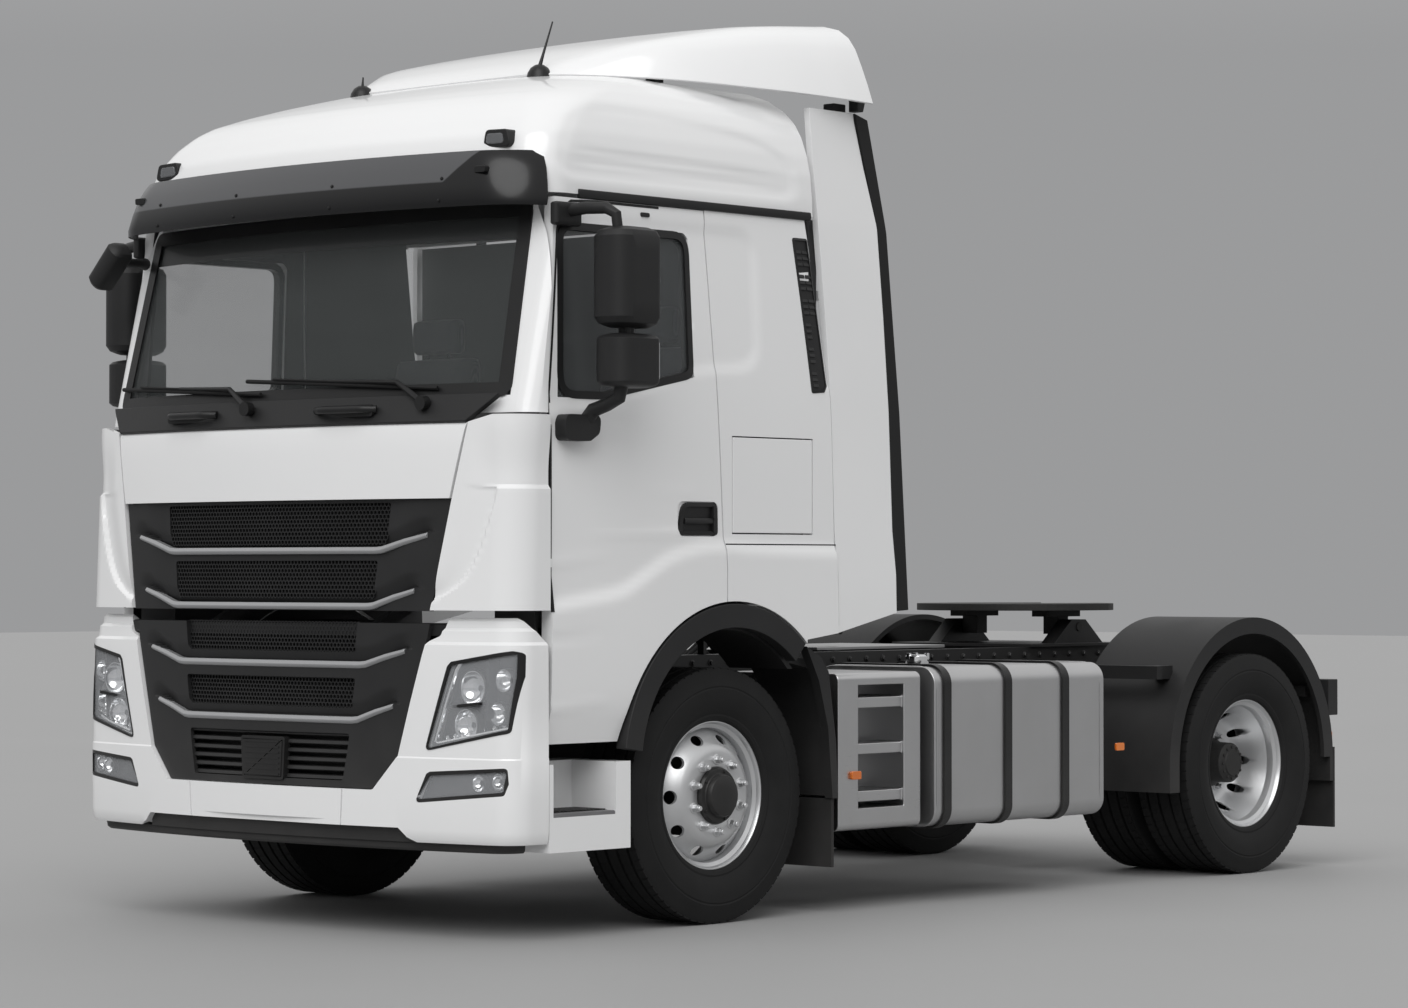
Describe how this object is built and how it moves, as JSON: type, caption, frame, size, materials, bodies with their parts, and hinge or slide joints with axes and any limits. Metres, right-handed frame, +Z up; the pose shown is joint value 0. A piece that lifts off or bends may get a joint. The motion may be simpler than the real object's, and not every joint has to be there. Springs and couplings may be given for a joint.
{
  "type": "semi truck tractor unit",
  "caption": "Two-axle road tractor with a tilting high-roof sleeper cab, hinged doors and nose panel, steered front wheels, twin rear wheels and a pitching fifth wheel",
  "frame": {"origin": "on the ground, at the middle of the vehicle's plan", "axes": "-Y forward, +X to the truck's left, +Z up"},
  "size_m": [3.04, 5.76, 3.69],
  "materials": {
    "white_paint": "gloss",
    "black_plastic": "grained",
    "chassis_paint": "satin",
    "cast_parts": "painted",
    "tank_metal": "brushed",
    "wheel_metal": "silver satin",
    "tyre_rubber": "moulded",
    "flap_rubber": "matt",
    "screen_glass": "clear",
    "tinted_glass": "tinted",
    "lamp_lens": "clear",
    "red_lens": "clear",
    "smoked_visor": "smoked",
    "interior_trim": "grained",
    "seat_fabric": "woven"
  },
  "bodies": {
    "chassis": {"ladder_frame": "chassis_paint", "front_axle": "cast_parts", "rear_axle": "cast_parts", "springs": "chassis_paint", "engine": "cast_parts", "bumper": "white_paint", "lower_grille": "black_plastic", "front_lamps": "lamp_lens", "entry_steps": "white_paint", "mudguards": "black_plastic", "fuel_tank": "tank_metal", "tank_straps": "black_plastic", "step_tank": "tank_metal", "exhaust_box": "tank_metal", "air_tanks": "chassis_paint", "fifth_wheel_base": "chassis_paint", "mud_flaps": "flap_rubber", "tail_lamps": "red_lens"},
    "fifth_wheel": {"fifth_wheel_plate": "cast_parts"},
    "cab": {"cab_shell": "interior_trim", "cab_sides": "white_paint", "windscreen_frame": "white_paint", "windscreen": "screen_glass", "high_roof": "white_paint", "roof_deflector": "white_paint", "front_mirror": "black_plastic", "side_deflectors": "white_paint", "deflector_edges": "flap_rubber", "cowl": "black_plastic", "corner_panels": "white_paint", "sun_visor": "smoked_visor", "arch_trims": "black_plastic", "dashboard": "interior_trim", "steering_wheel": "interior_trim", "seats": "seat_fabric", "bunk": "seat_fabric"},
    "nose_panel": {"front_panel": "white_paint", "upper_grille": "black_plastic"},
    "left_locker": {"left_locker_lid": "white_paint"},
    "right_locker": {"right_locker_lid": "white_paint"},
    "left_door": {"left_door": "white_paint", "left_door_glass": "tinted_glass", "left_mirror": "black_plastic"},
    "right_door": {"right_door": "white_paint", "right_door_glass": "tinted_glass", "right_mirror": "black_plastic"},
    "left_steering": {"left_knuckle": "cast_parts"},
    "right_steering": {"right_knuckle": "cast_parts"},
    "track_rod": {"tie_rod": "cast_parts"},
    "front_left_wheel": {"front_left_tyre": "tyre_rubber", "front_left_rim": "wheel_metal"},
    "front_right_wheel": {"front_right_tyre": "tyre_rubber", "front_right_rim": "wheel_metal"},
    "rear_left_wheels": {"rear_left_tyres": "tyre_rubber", "rear_left_rims": "wheel_metal"},
    "rear_right_wheels": {"rear_right_tyres": "tyre_rubber", "rear_right_rims": "wheel_metal"}
  },
  "joints": [
    {"name": "cab_tilt", "type": "hinge", "parent": "chassis", "child": "cab", "pos_m": [0, -2.77, 1.15], "axis": [1, 0, 0], "range_deg": [0, 60]},
    {"name": "nose_panel_lift", "type": "hinge", "parent": "cab", "child": "nose_panel", "pos_m": [0, -2.855, 1.99], "axis": [-1, 0, 0], "range_deg": [0, 80]},
    {"name": "left_door_swing", "type": "hinge", "parent": "cab", "child": "left_door", "pos_m": [1.248, -2.534, 1.7], "axis": [0, 0, -1], "range_deg": [0, 75]},
    {"name": "right_door_swing", "type": "hinge", "parent": "cab", "child": "right_door", "pos_m": [-1.248, -2.534, 1.7], "axis": [0, 0, 1], "range_deg": [0, 75]},
    {"name": "left_locker_lift", "type": "hinge", "parent": "cab", "child": "left_locker", "pos_m": [1.236, -1.22, 1.934], "axis": [0, -1, 0], "range_deg": [0, 80]},
    {"name": "right_locker_lift", "type": "hinge", "parent": "cab", "child": "right_locker", "pos_m": [-1.236, -1.22, 1.934], "axis": [0, 1, 0], "range_deg": [0, 80]},
    {"name": "steer_left", "type": "hinge", "parent": "chassis", "child": "left_steering", "pos_m": [0.93, -1.52, 0.507], "axis": [0, 0, 1], "range_deg": [-40, 40]},
    {"name": "steer_right", "type": "hinge", "parent": "chassis", "child": "right_steering", "pos_m": [-0.93, -1.52, 0.507], "axis": [0, 0, 1], "range_deg": [-40, 40]},
    {"name": "track_rod_swing", "type": "hinge", "parent": "left_steering", "child": "track_rod", "pos_m": [0.93, -1.37, 0.363], "axis": [0, 0, 1], "range_deg": [-40, 40]},
    {"name": "front_left_roll", "type": "hinge", "parent": "left_steering", "child": "front_left_wheel", "pos_m": [1.028, -1.52, 0.507], "axis": [1, 0, 0], "continuous": true},
    {"name": "front_right_roll", "type": "hinge", "parent": "right_steering", "child": "front_right_wheel", "pos_m": [-1.028, -1.52, 0.507], "axis": [1, 0, 0], "continuous": true},
    {"name": "rear_left_roll", "type": "hinge", "parent": "chassis", "child": "rear_left_wheels", "pos_m": [0.93, 2.08, 0.507], "axis": [1, 0, 0], "continuous": true},
    {"name": "rear_right_roll", "type": "hinge", "parent": "chassis", "child": "rear_right_wheels", "pos_m": [-0.93, 2.08, 0.507], "axis": [1, 0, 0], "continuous": true},
    {"name": "fifth_wheel_pitch", "type": "hinge", "parent": "chassis", "child": "fifth_wheel", "pos_m": [0, 1.93, 1.13], "axis": [1, 0, 0], "range_deg": [-12, 12]}
  ],
  "couplings": [
    {"joint": "steer_right", "follows": "steer_left", "ratio": 1},
    {"joint": "track_rod_swing", "follows": "steer_left", "ratio": -1}
  ]
}
